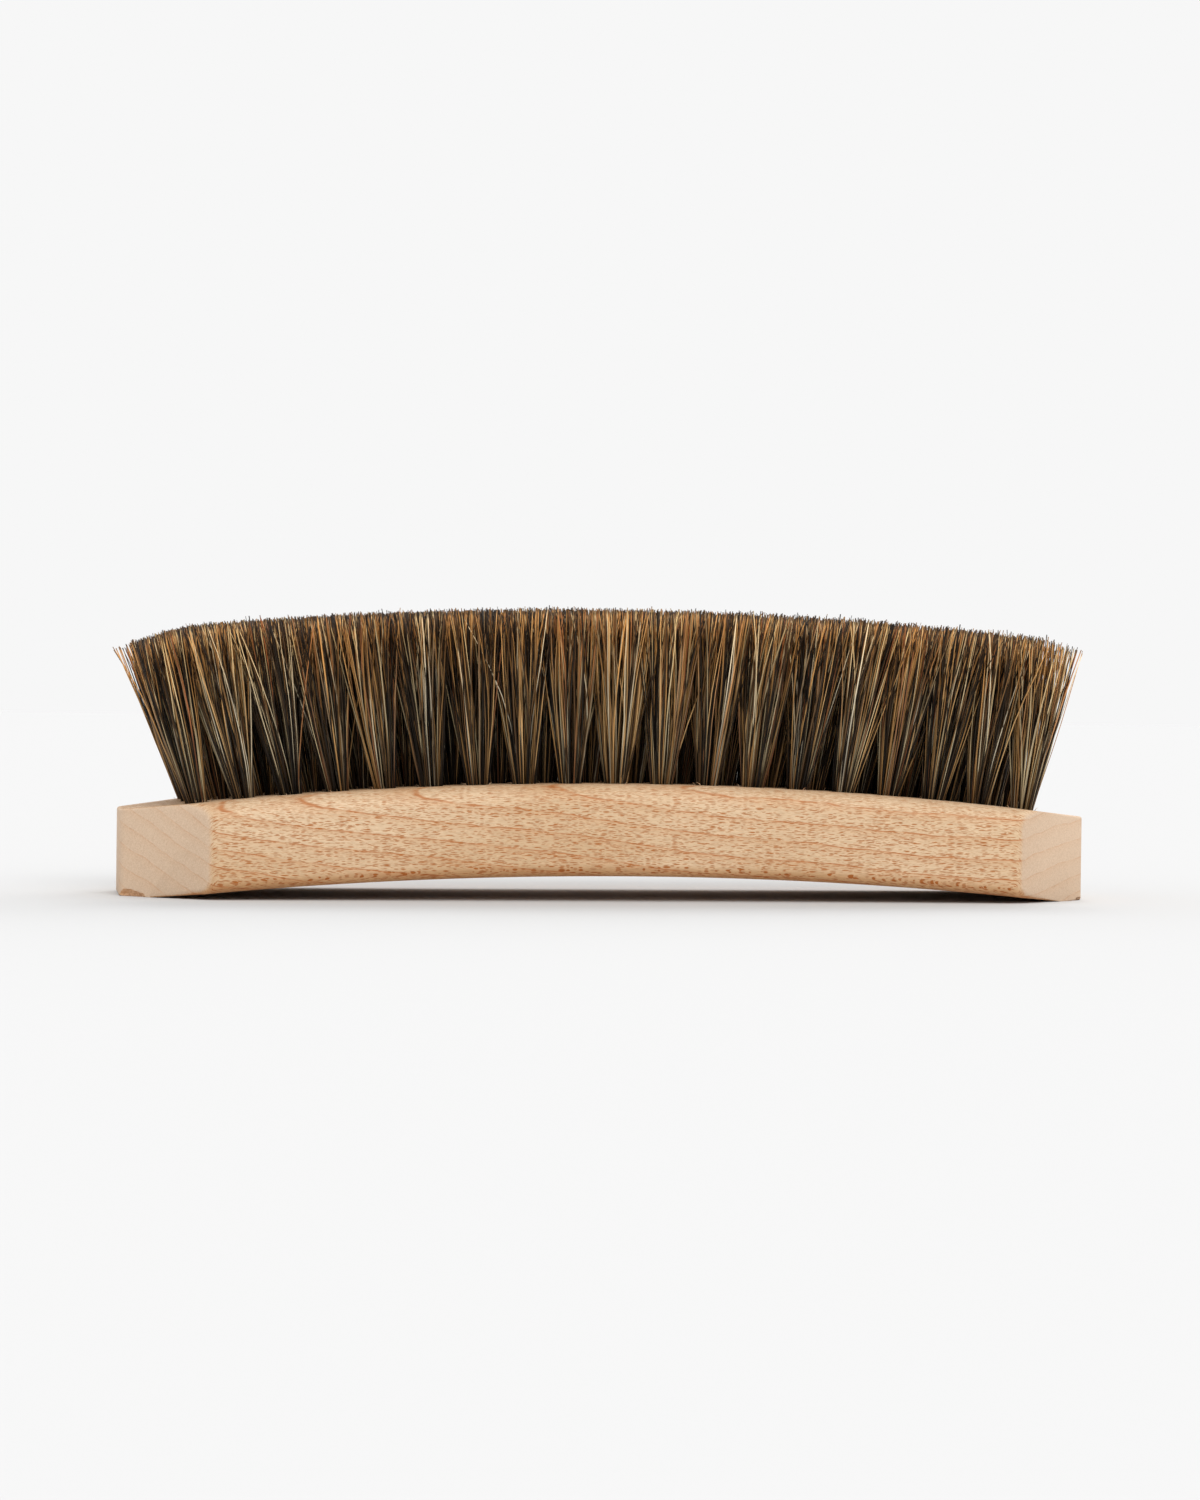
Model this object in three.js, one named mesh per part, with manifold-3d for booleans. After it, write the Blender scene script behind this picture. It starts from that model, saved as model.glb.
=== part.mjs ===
// Palm brush: an arched beech block with horsehair tufts set in blind holes.
// Millimetres. +X runs along the block, +Z points up to the bristle tips, and the front is -Y.
// The origin lies under the middle of the block, on the surface that its two ends rest on.

import * as THREE from 'three';
import { mergeVertices } from 'three/addons/utils/BufferGeometryUtils.js';
import Module from 'manifold-3d';

const wasm = await Module();
wasm.setup();

// The wooden block.
const BLOCK_LENGTH = 180;
const BLOCK_WIDTH = 50;
const BLOCK_THICKNESS = 16.7; // at mid-length
const PALM_RISE = 4.6; // height of the hollow underside at mid-length
const PALM_RADIUS = 786; // arch of the underside
const FACE_RADIUS = 720; // arch of the drilled face
const FACE_CROWN = PALM_RISE + BLOCK_THICKNESS;
const CORNER_CUT_X = 16; // each corner is sawn off at about 45 degrees
const CORNER_CUT_Y = 15.5;
const END_EDGE_EASE = 1.6; // eased upright edges of the two end faces
const FACE_EDGE_RADIUS = 4; // long edges beside the bristles
const PALM_EDGE_RADIUS = 2.5; // long edges beside the palm
const ARCH_STEPS = 20; // straight lengths that make up the arch

// The bristle field: five staggered rows of tufts.
const ROW_COUNT = 5;
const LONG_ROW_TUFTS = 19; // the rows between hold one tuft less
const TUFT_PITCH = 8.5;
const ROW_SPACING = 8;
const HOLE_RADIUS = 2.35;
const HOLE_DEPTH = 9.5;
const ROOT_RADIUS = 2;
const ROOT_DEPTH = 9.1;
const BRISTLE_LENGTH = 32;
const TRIM_RADIUS = 760; // arch that the tips are trimmed to
const SPREAD_X = 1.106; // how much wider the field is at the tips than at the holes
const SPREAD_Y = 1.275;
const MEETING_HEIGHT = 15; // above the block, where neighbouring tufts first touch
const TUFT_GAP = 0.2; // from a tuft to the plane halfway to its neighbour
const MESHED_HEIGHT = 26; // above the block, where strayed hair joins the tufts of a pair
const MESHED_SIZE = new THREE.Vector3(2, 1.6, 5); // from tuft to tuft, across, and up

const BEECH = { color: 0xd8b48a, roughness: 0.62, metalness: 0 };
const HORSEHAIR_SHADES = [0x5a452f, 0x6b5236, 0x4a3a2a, 0x7a5f3d];

// ---- Solids ----

function solidFrom(geometry) {
  const bare = geometry.clone();
  bare.deleteAttribute('normal');
  bare.deleteAttribute('uv');
  const merged = mergeVertices(bare, 1e-4);
  return new wasm.Manifold(new wasm.Mesh({
    numProp: 3,
    vertProperties: new Float32Array(merged.attributes.position.array),
    triVerts: new Uint32Array(merged.index.array),
  }));
}

function geometryFrom(solid) {
  const mesh = solid.getMesh();
  const indexed = new THREE.BufferGeometry();
  indexed.setAttribute('position', new THREE.BufferAttribute(mesh.vertProperties, 3));
  indexed.setIndex(new THREE.BufferAttribute(mesh.triVerts, 1));
  const geometry = indexed.toNonIndexed();
  geometry.computeVertexNormals();
  return geometry;
}

function moveVertices(geometry, place) {
  const position = geometry.attributes.position;
  const point = new THREE.Vector3();
  for (let i = 0; i < position.count; i += 1) {
    point.fromBufferAttribute(position, i);
    place(point);
    position.setXYZ(i, point.x, point.y, point.z);
  }
  return geometry;
}

// ---- Arches ----

function archHeight(x, crown, radius) {
  return crown - radius + Math.sqrt(radius * radius - x * x);
}

const palmHeight = (x) => archHeight(x, PALM_RISE, PALM_RADIUS);
const faceHeight = (x) => archHeight(x, FACE_CROWN, FACE_RADIUS);
const trimHeight = (x) => archHeight(x, FACE_CROWN + BRISTLE_LENGTH, TRIM_RADIUS);

// ---- Block ----

// Cross-section of the block, with width along x and thickness along y.
function blockSection() {
  const side = BLOCK_WIDTH / 2;
  const palm = PALM_EDGE_RADIUS;
  const face = FACE_EDGE_RADIUS;
  const section = new THREE.Shape();
  section.moveTo(palm - side, 0);
  section.absarc(side - palm, palm, palm, -Math.PI / 2, 0);
  section.absarc(side - face, BLOCK_THICKNESS - face, face, 0, Math.PI / 2);
  section.absarc(face - side, BLOCK_THICKNESS - face, face, Math.PI / 2, Math.PI);
  section.absarc(palm - side, palm, palm, Math.PI, Math.PI * 1.5);
  return section;
}

// The section swept along X, then bent so that its bottom and top follow their own arches.
function archedBar() {
  const bar = new THREE.ExtrudeGeometry(blockSection(), {
    depth: BLOCK_LENGTH,
    steps: ARCH_STEPS,
    bevelEnabled: false,
    curveSegments: 2,
  });
  const alongY = new THREE.Vector3(0, 1, 0);
  const alongZ = new THREE.Vector3(0, 0, 1);
  const alongX = new THREE.Vector3(1, 0, 0);
  bar.applyMatrix4(new THREE.Matrix4().makeBasis(alongY, alongZ, alongX));
  bar.translate(-BLOCK_LENGTH / 2, 0, 0);
  moveVertices(bar, (point) => {
    const share = point.z / BLOCK_THICKNESS;
    point.z = THREE.MathUtils.lerp(palmHeight(point.x), faceHeight(point.x), share);
  });
  return solidFrom(bar);
}

// Outline of the block from above: a rectangle with sawn corners and eased end edges. It stands
// proud of the long sides, which the bar itself sets. Its two halves are half a turn apart.
function planOutline() {
  const proud = 1;
  const slope = CORNER_CUT_Y / CORNER_CUT_X;
  const end = BLOCK_LENGTH / 2;
  const side = BLOCK_WIDTH / 2 + proud;
  const shoulder = end - CORNER_CUT_X - proud / slope;
  const corner = BLOCK_WIDTH / 2 - CORNER_CUT_Y;
  const eased = corner - END_EDGE_EASE;
  const cut = new THREE.Vector2(-1, slope).setLength(END_EDGE_EASE);
  cut.x += end;
  cut.y += corner;
  const outline = new THREE.Shape();
  outline.moveTo(-shoulder, -side);
  for (const turn of [1, -1]) {
    outline.lineTo(turn * shoulder, -turn * side);
    outline.lineTo(turn * cut.x, -turn * cut.y);
    outline.quadraticCurveTo(turn * end, -turn * corner, turn * end, -turn * eased);
    outline.lineTo(turn * end, turn * eased);
    outline.quadraticCurveTo(turn * end, turn * corner, turn * cut.x, turn * cut.y);
    outline.lineTo(turn * shoulder, turn * side);
  }
  return outline;
}

// The outline raised from the resting surface, which leaves a flat land under each end.
function planPrism() {
  const prism = new THREE.ExtrudeGeometry(planOutline(), {
    depth: 2 * FACE_CROWN,
    bevelEnabled: false,
    curveSegments: 3,
  });
  return solidFrom(prism);
}

// ---- Tufts ----

// Neighbours of a tuft in the staggered field, when the field is spread by the two factors.
function neighbours(spreadX, spreadY) {
  const pitch = TUFT_PITCH * spreadX;
  const spacing = ROW_SPACING * spreadY;
  const offsets = [];
  for (const sign of [1, -1]) {
    offsets.push(new THREE.Vector2(sign * pitch, 0));
    offsets.push(new THREE.Vector2(sign * pitch / 2, spacing));
    offsets.push(new THREE.Vector2(sign * pitch / 2, -spacing));
  }
  return offsets;
}

// Distance from a tuft's axis to the edge of its own cell, in one direction.
function cellRadius(angle, spreadX, spreadY) {
  let nearest = Infinity;
  for (const offset of neighbours(spreadX, spreadY)) {
    const facing = Math.cos(angle - offset.angle());
    if (facing > 1e-6) {
      nearest = Math.min(nearest, (offset.length() / 2 - TUFT_GAP) / facing);
    }
  }
  return nearest;
}

// Directions of a tuft's eight edges: the six corners of its cell, and straight along the row.
function tuftDirections() {
  const halfPitch = TUFT_PITCH * SPREAD_X / 2;
  const spacing = ROW_SPACING * SPREAD_Y;
  const cornerY = (spacing * spacing - halfPitch * halfPitch) / (2 * spacing);
  const corner = Math.atan2(cornerY, halfPitch);
  const quarter = Math.PI / 2;
  const half = Math.PI;
  return [0, corner, quarter, half - corner, half, half + corner, 3 * quarter, 2 * half - corner];
}

const DIRECTIONS = tuftDirections();

// A leaning post over one hole. Its rings are level, and each gives a height above the mouth
// of the hole and a function from direction to radius.
function leaningPost(hole, rings) {
  const sides = DIRECTIONS.length;
  const spans = rings.length - 1;
  const post = new THREE.CylinderGeometry(1, 1, spans, sides, spans);
  post.rotateX(Math.PI / 2);
  post.translate(0, 0, spans / 2);
  moveVertices(post, (point) => {
    const ring = rings[Math.round(point.z)];
    const reach = Math.hypot(point.x, point.y);
    const turn = Math.atan2(point.y, point.x) / (2 * Math.PI);
    const angle = DIRECTIONS[(Math.round(turn * sides) + sides) % sides];
    const radius = reach > 0.5 ? ring.radius(angle) : 0;
    const x = hole.x + hole.leanX * ring.height + radius * Math.cos(angle);
    const y = hole.y + hole.leanY * ring.height + radius * Math.sin(angle);
    const trimmed = ring.height === BRISTLE_LENGTH;
    point.set(x, y, trimmed ? trimHeight(x) : faceHeight(hole.x) + ring.height);
  });
  return solidFrom(post);
}

function tuftsInRow(row) {
  return row % 2 === 0 ? LONG_ROW_TUFTS : LONG_ROW_TUFTS - 1;
}

// Mouth of one hole, and how far its tuft leans for each millimetre of height.
function holeAt(row, place) {
  const tufts = tuftsInRow(row);
  const x = (place - (tufts - 1) / 2) * TUFT_PITCH;
  const y = (row - (ROW_COUNT - 1) / 2) * ROW_SPACING;
  const leanX = x * (SPREAD_X - 1) / BRISTLE_LENGTH;
  const leanY = y * (SPREAD_Y - 1) / BRISTLE_LENGTH;
  return { x, y, leanX, leanY };
}

function drill(hole) {
  const radius = () => HOLE_RADIUS;
  const clearance = 4; // the cutter reaches this far out of the wood
  return leaningPost(hole, [{ height: -HOLE_DEPTH, radius }, { height: clearance, radius }]);
}

// One bundle of hair: a round root, splaying until it meets its neighbours, then filling its cell.
function tuft(hole) {
  const spreadAt = (height, full) => 1 + (full - 1) * height / BRISTLE_LENGTH;
  const cellAt = (height) => (angle) =>
    cellRadius(angle, spreadAt(height, SPREAD_X), spreadAt(height, SPREAD_Y));
  const halfWay = cellAt(MEETING_HEIGHT)(0);
  const root = () => ROOT_RADIUS;
  return leaningPost(hole, [
    { height: -ROOT_DEPTH, radius: root },
    { height: 0, radius: root },
    { height: MEETING_HEIGHT, radius: () => halfWay },
    { height: BRISTLE_LENGTH, radius: cellAt(BRISTLE_LENGTH) },
  ]);
}

// Hair that has strayed from one tuft into the next, and holds the two together near the tips.
function meshedTips(first, second) {
  const height = MESHED_HEIGHT;
  const strand = new THREE.BoxGeometry(...MESHED_SIZE.toArray());
  const along = new THREE.Vector2(second.x - first.x, second.y - first.y);
  strand.rotateZ(along.angle());
  strand.translate(
    (first.x + second.x) / 2 + (first.leanX + second.leanX) / 2 * height,
    (first.y + second.y) / 2 + (first.leanY + second.leanY) / 2 * height,
    faceHeight(first.x) + height,
  );
  return solidFrom(strand);
}

// ---- Assembly ----

const brush = new THREE.Group();

function addPart(name, solid, finish) {
  const mesh = new THREE.Mesh(geometryFrom(solid), new THREE.MeshStandardMaterial(finish));
  mesh.name = name;
  brush.add(mesh);
}

function addBlock() {
  let block = archedBar().intersect(planPrism());
  for (let row = 0; row < ROW_COUNT; row += 1) {
    for (let place = 0; place < tuftsInRow(row); place += 1) {
      block = block.subtract(drill(holeAt(row, place)));
    }
  }
  addPart('beech_block', block, BEECH);
}

// Each tuft of a long row is paired with the tuft behind it. The last one of the row, and the
// tufts of the back row, stand alone.
function addTufts() {
  const bands = [
    { name: 'tuft_front', row: 0 },
    { name: 'tuft_middle', row: 2 },
    { name: 'tuft_back', row: 4 },
  ];
  for (const band of bands) {
    for (let place = 0; place < LONG_ROW_TUFTS; place += 1) {
      const hole = holeAt(band.row, place);
      let hair = tuft(hole);
      const behind = band.row + 1;
      const paired = behind < ROW_COUNT && place < tuftsInRow(behind);
      if (paired) {
        const hidden = holeAt(behind, place);
        hair = hair.add(tuft(hidden)).add(meshedTips(hole, hidden));
      }
      const shade = HORSEHAIR_SHADES[(place + band.row) % HORSEHAIR_SHADES.length];
      const number = String(place + 1).padStart(2, '0');
      const name = `${band.name}${paired ? '_pair' : ''}_${number}`;
      addPart(name, hair, { color: shade, roughness: 0.85, metalness: 0 });
    }
  }
}

addBlock();
addTufts();

export default brush;
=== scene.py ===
"""A palm brush of beech and horsehair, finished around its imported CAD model.

Everything is in metres, in the frame of the CAD model: X along the block, Z up to the bristle
tips, and the front at -Y. The block, the hair and the anchors are built here. Where they lie
comes from the CAD nodes.
"""

import math

import bmesh
import bpy
import numpy as np
from mathutils import Euler, Matrix, Vector, noise


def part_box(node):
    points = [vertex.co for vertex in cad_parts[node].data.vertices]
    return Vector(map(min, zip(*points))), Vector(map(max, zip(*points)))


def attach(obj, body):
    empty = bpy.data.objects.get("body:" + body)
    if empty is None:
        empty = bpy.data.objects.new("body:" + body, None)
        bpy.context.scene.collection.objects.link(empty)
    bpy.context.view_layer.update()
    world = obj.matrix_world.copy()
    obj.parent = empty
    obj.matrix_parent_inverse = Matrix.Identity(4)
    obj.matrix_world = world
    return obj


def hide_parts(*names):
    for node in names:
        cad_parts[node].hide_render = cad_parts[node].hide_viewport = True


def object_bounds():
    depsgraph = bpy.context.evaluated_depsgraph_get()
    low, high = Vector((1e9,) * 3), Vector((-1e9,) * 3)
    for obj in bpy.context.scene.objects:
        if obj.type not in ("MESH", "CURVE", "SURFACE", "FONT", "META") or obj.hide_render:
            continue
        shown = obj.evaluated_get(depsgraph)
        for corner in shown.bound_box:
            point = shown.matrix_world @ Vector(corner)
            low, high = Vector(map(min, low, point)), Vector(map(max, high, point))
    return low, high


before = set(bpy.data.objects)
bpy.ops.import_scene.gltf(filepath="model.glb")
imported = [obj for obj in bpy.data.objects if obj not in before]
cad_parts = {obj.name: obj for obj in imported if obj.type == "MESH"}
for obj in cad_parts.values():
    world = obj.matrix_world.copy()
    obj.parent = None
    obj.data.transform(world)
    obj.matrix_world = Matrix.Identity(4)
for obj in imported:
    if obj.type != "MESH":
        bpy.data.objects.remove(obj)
cad_low, cad_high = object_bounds()

MM = 0.001
BODY = "root"
BLOCK_NODE = "beech_block"
block_low, block_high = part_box(BLOCK_NODE)

# The block, as the CAD model has it.
LENGTH = block_high.x - block_low.x
WIDTH = block_high.y - block_low.y
THICKNESS = 16.7 * MM
FACE_CROWN = block_high.z
PALM_CROWN = FACE_CROWN - THICKNESS
FACE_RADIUS = 720 * MM
PALM_RADIUS = 786 * MM
TRIM_RADIUS = 760 * MM
TRIM_CROWN = cad_high.z
FACE_EDGE = 4 * MM
PALM_EDGE = 2.5 * MM
CORNER_CUT = Vector((16 * MM, 15.5 * MM))

# How far the rounding of its edges reaches, where two faces meet at more than the sharp angle.
SHARP_ANGLE = math.radians(28)
UPRIGHT_ROUND = 1.3 * MM  # the upright edges of the end faces
CREASE_ROUND = 1.2 * MM  # the upright creases where the corners are sawn off
EDGE_ROUND = 0.4 * MM  # every other sharp edge

# The holes, and the anchors across their bottoms.
HOLE_RADIUS = 2.35 * MM
HOLE_DEPTH = 9.5 * MM
ROOT_DEPTH = 9.1 * MM
ROOT_RADIUS = 2.05 * MM
ANCHOR_LENGTH = 5 * MM  # a little more than the hole, so that its ends bite into the wood
ANCHOR_HEIGHT = 1.4 * MM
ANCHOR_THICKNESS = 0.36 * MM
ANCHOR_REST = 0.95 * MM  # from the lowest folds up to the underside of the wire
ANCHOR_CLEARANCE = 0.12  # share of the bundle's radius that the anchor keeps free of hair

# The hairs.
HAIRS_PER_TUFT = 100  # each is folded double, so it ends in two tips
HAIR_RADIUS = 0.125 * MM
HAIR_SIDES = 3
HAIR_SPREAD = 0.22  # how much their thickness varies, as a share of it
THINNEST_HAIR = 0.55
THICKEST_HAIR = 1.6
TIP_TAPER = 0.35  # how much of its thickness a hair loses between here and its tip
TAPER_START = 0.7
FOLDED_SHARE = 0.06  # how much of 'along' is used up inside the hole
BRISTLE_LENGTH = 32 * MM
TONES = 128
TONE_DRIFT = 0.16  # how much the mix of tones differs from tuft to tuft
LIGHTER_END = 0.42  # how far the mix of tones moves towards the light ones at the right end

# How a tuft leans and opens out on its way up.
STRAIGHTER = 0.62  # how much less the tufts at the right end lean outwards
STRAIGHTER_FROM = 45 * MM
STRAIGHTER_OVER = 30 * MM
BUNDLE_GROWTH = 3.3 * MM
GROWTH_HEIGHT = 14 * MM
GROWTH_POWER = 1.25
LOCKS_PER_TUFT = 16
LOCK_PULL = 0.55  # how strongly the hairs draw together into locks
LOCK_PEAK = 0.7  # where along the bristle they do so most

# How single hairs stray from it: they sway and bend to the sides, and a few do so strongly.
SWAYS = [(0.07, 0.105), (0.38, 0.06)]  # share of the hairs, counting on, and their sway
CALM_SWAY = 0.028
SWAY_LIMIT = 1.7
SWAY_AT_MOUTH = 0.3  # as a share of the sway at the tip
BENT_SHARE = 0.3
STRONG_BEND = 2.6 * MM
CALM_BEND = 1.0 * MM
BEND_RETURN = 0.25  # where along the bristle a bent hair crosses its straight line
RIPPLE = 0.07 * MM
RIPPLE_SHAPE = 1.6  # of the gamma distribution that the ripples' sizes are drawn from
RIPPLE_WAVES = 9.0  # radians along the bristle

# How the tips are trimmed.
END_START = 78 * MM  # where the tips begin to fall away towards the ends of the brush
END_SLOPE = 0.17
TRIM_MARGIN = 0.45 * MM  # from most of the tips up to the highest few
HIGHEST_TIP = 0.6 * MM  # above the arch that the tips are trimmed to
TIP_SCATTER = 0.3 * MM
LONGEST_HAIR = 1.04  # as a share of the bristle length
WIDEST_SPREAD = 15 * MM
SHORT_SHARE = 0.2
SHORT_BY = 1.8 * MM
LEAST_HEIGHT = 12 * MM

rng = np.random.default_rng(41)


def srgb(red, green, blue):
    """Scene-linear colour from ordinary 8-bit values."""
    def linear(value):
        share = value / 255
        return share / 12.92 if share <= 0.04045 else ((share + 0.055) / 1.055) ** 2.4
    return (linear(red), linear(green), linear(blue), 1.0)


def arch(x, crown, radius):
    return crown - radius + np.sqrt(radius * radius - x * x)


# ---------------------------------------------------------------- node helpers


class Nodes:
    """Short calls for building one material's node tree."""

    def __init__(self, name):
        self.material = bpy.data.materials.new(name)
        self.material.use_nodes = True
        self.tree = self.material.node_tree
        self.shader = self.tree.nodes["Principled BSDF"]

    def new(self, kind, **settings):
        node = self.tree.nodes.new(kind)
        for key, value in settings.items():
            setattr(node, key, value)
        return node

    def feed(self, socket, value):
        if isinstance(value, bpy.types.NodeSocket):
            self.tree.links.new(value, socket)
        else:
            socket.default_value = value

    def math(self, operation, first, second=0.0, third=0.0, clamp=False):
        node = self.new("ShaderNodeMath", operation=operation, use_clamp=clamp)
        for socket, value in zip(node.inputs, (first, second, third)):
            self.feed(socket, value)
        return node.outputs[0]

    def vector(self, operation, first, second=(0, 0, 0)):
        node = self.new("ShaderNodeVectorMath", operation=operation)
        self.feed(node.inputs[0], first)
        self.feed(node.inputs[1], second)
        return node.outputs["Value" if operation in ("DOT_PRODUCT", "LENGTH") else "Vector"]

    def combine(self, x, y, z):
        node = self.new("ShaderNodeCombineXYZ")
        for socket, value in zip(node.inputs, (x, y, z)):
            self.feed(socket, value)
        return node.outputs[0]

    def noise(self, vector, scale, detail=2.0, roughness=0.5):
        node = self.new("ShaderNodeTexNoise")
        self.feed(node.inputs["Vector"], vector)
        node.inputs["Scale"].default_value = scale
        node.inputs["Detail"].default_value = detail
        node.inputs["Roughness"].default_value = roughness
        return node.outputs["Fac"]

    def mix(self, share, first, second, blend="MIX"):
        node = self.new("ShaderNodeMix", data_type="RGBA", blend_type=blend)
        self.feed(node.inputs["Factor"], share)
        colours = [socket for socket in node.inputs if socket.type == "RGBA"]
        self.feed(colours[0], first)
        self.feed(colours[1], second)
        return next(socket for socket in node.outputs if socket.type == "RGBA")

    def span(self, value, low, high, start=0.0, end=1.0):
        """value's place between low and high, eased, and clamped to start and end."""
        node = self.new("ShaderNodeMapRange", interpolation_type="SMOOTHSTEP")
        for socket, number in zip(node.inputs, (value, low, high, start, end)):
            self.feed(socket, number)
        return node.outputs[0]

    def ramp(self, value, stops, interpolation="LINEAR"):
        node = self.new("ShaderNodeValToRGB")
        node.color_ramp.interpolation = interpolation
        elements = node.color_ramp.elements
        while len(elements) < len(stops):
            elements.new(0.5)
        for element, (place, colour) in zip(elements, stops):
            element.position = place
            element.color = colour
        self.feed(node.inputs[0], value)
        return node.outputs[0]

    def bump(self, height, distance, strength):
        node = self.new("ShaderNodeBump")
        node.inputs["Strength"].default_value = strength
        node.inputs["Distance"].default_value = distance
        self.feed(node.inputs["Height"], height)
        self.feed(self.shader.inputs["Normal"], node.outputs["Normal"])


# ---------------------------------------------------------------- materials

HAIR_TONES = [  # from black, through brown and gold, to the few olive, blond and white hairs
    (0.00, srgb(22, 17, 12)),
    (0.28, srgb(42, 33, 23)),
    (0.43, srgb(70, 53, 36)),
    (0.53, srgb(108, 80, 50)),
    (0.61, srgb(150, 112, 66)),
    (0.70, srgb(196, 150, 94)),
    (0.77, srgb(228, 186, 130)),
    (0.81, srgb(156, 92, 52)),
    (0.87, srgb(152, 137, 108)),
    (0.94, srgb(222, 198, 154)),
    (1.00, srgb(232, 220, 196)),
]
RADIAL = Vector((0.0, -0.33, 0.94)).normalized()  # from the tree's pith towards its bark
PITH_DISTANCE = 240.0  # from the pith to the middle of the block, in millimetres like all of these
MIDDLE_HEIGHT = 12.0
GRAIN_SLOPE = 0.129  # how fast the growth rings drift along the block
GRAIN_CURL = 0.0003  # how much faster they drift towards its left end
GRAIN_TWIST = 0.0013  # how their tilt across the block changes along it
GRAIN_WANDER = 4.0  # their slow waves
GRAIN_WOBBLE = 0.7  # and their short ones
RING_WIDTH = 3.3
RAY_DEPTH = 1.7
RAY_SIZES = [(2.1, 0.105), (1.7, 0.09), (1.2, 0.075)]  # length along the grain, and thickness


def split_xyz(n, vector):
    node = n.new("ShaderNodeSeparateXYZ")
    n.feed(node.inputs[0], vector)
    return node.outputs


def wood_coordinates(n):
    """The place in the block and in its tree, in millimetres: along, out from, and round the pith."""
    here = n.new("ShaderNodeTexCoord").outputs["Object"]
    place = n.vector("SCALE", here)
    place.node.inputs["Scale"].default_value = 1 / MM
    pith = RADIAL * -PITH_DISTANCE + Vector((0, 0, MIDDLE_HEIGHT))
    along, out_y, out_z = split_xyz(n, n.vector("SUBTRACT", place, pith))

    drift = n.math("MULTIPLY", along, GRAIN_SLOPE)
    curl = n.math("MULTIPLY", n.math("MULTIPLY", along, along), -GRAIN_CURL)
    twist = n.math("MULTIPLY", along, split_xyz(n, place)[1])
    twist = n.math("MULTIPLY", twist, GRAIN_TWIST)
    wander = n.noise(n.vector("MULTIPLY", place, (0.35, 1.0, 1.0)), 0.06, 1.0)
    wobble = n.noise(n.vector("MULTIPLY", place, (0.4, 1.0, 1.0)), 0.4, 2.0)
    radius = n.vector("LENGTH", n.combine(0.0, out_y, out_z))
    radius = n.math("ADD", radius, n.math("ADD", drift, curl))
    radius = n.math("ADD", radius, twist)
    radius = n.math("ADD", radius, n.math("MULTIPLY", wander, GRAIN_WANDER))
    radius = n.math("ADD", radius, n.math("MULTIPLY", wobble, GRAIN_WOBBLE))

    around = n.math("MULTIPLY", n.math("ARCTAN2", out_z, out_y), PITH_DISTANCE)
    return place, along, radius, around


def ray_flecks(n, along, radius, around, length, thickness):
    """Rays: thin sheets that run out from the pith, and show as short dashes along the grain."""
    where = n.combine(
        n.math("DIVIDE", along, length),
        n.math("DIVIDE", around, thickness),
        n.math("DIVIDE", radius, RAY_DEPTH),
    )
    cells = n.new("ShaderNodeTexVoronoi", feature="F1")
    n.feed(cells.inputs["Vector"], where)
    cells.inputs["Scale"].default_value = 1.0
    chance = n.new("ShaderNodeSeparateColor")
    n.feed(chance.inputs[0], cells.outputs["Color"])
    size = n.span(chance.outputs[0], 0.0, 1.0, 0.22, 0.46)
    fleck = n.span(n.math("DIVIDE", cells.outputs["Distance"], size), 1.05, 0.6)
    return n.math("MULTIPLY", fleck, n.span(chance.outputs[1], 0.1, 0.7, 0.3, 1.0))


def growth_rings(n, along, radius, around):
    """A slow darkening through each year, and the thin line that ends it, broken here and there."""
    year = n.math("FRACT", n.math("DIVIDE", radius, RING_WIDTH))
    late = n.math("MULTIPLY", n.span(year, 0.4, 0.97), n.span(year, 1.0, 0.965))
    line = n.math("MULTIPLY", n.span(year, 0.89, 0.95), n.span(year, 1.0, 0.96))
    breaks = n.noise(n.combine(n.math("MULTIPLY", along, 0.5), radius, around), 0.7, 3.0)
    return late, n.math("MULTIPLY", line, n.span(breaks, 0.36, 0.58, 0.15, 1.0))


def grain_shares(n):
    """How far the surface is end grain, side grain, and side grain that looks down, which gets
    painted shade.
    """
    normal = n.new("ShaderNodeNewGeometry").outputs["Normal"]
    endways = n.math("ABSOLUTE", n.vector("DOT_PRODUCT", normal, (1, 0, 0)))
    downward = n.vector("DOT_PRODUCT", normal, (0, 0, -1))
    end_grain = n.span(endways, 0.3, 0.62)
    side_grain = n.math("SUBTRACT", 1.0, end_grain)
    painted_underside_shade = n.math("MULTIPLY", n.span(downward, -0.1, 0.7), side_grain)
    return end_grain, side_grain, painted_underside_shade


def stain(n, colour, stained, mask, side_grain, depth, more):
    """colour, moved towards stained under the mask: by depth, and on side grain by more besides."""
    share = n.math("ADD", n.math("MULTIPLY", side_grain, more), depth)
    return n.mix(n.math("MULTIPLY", mask, share), colour, stained)


def torn_wood(n, place, colour):
    """colour, with rough darker fibre where a chip has broken away."""
    torn = n.new("ShaderNodeAttribute", attribute_name="torn").outputs["Fac"]
    rough_fibre = n.noise(n.vector("MULTIPLY", place, (0.5, 2.0, 2.0)), 1.6, 3.0)
    torn_tone = n.ramp(rough_fibre, [(0.35, srgb(186, 134, 92)), (0.65, srgb(222, 178, 136))])
    return n.mix(n.math("MULTIPLY", torn, 0.85), colour, torn_tone)


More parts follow.
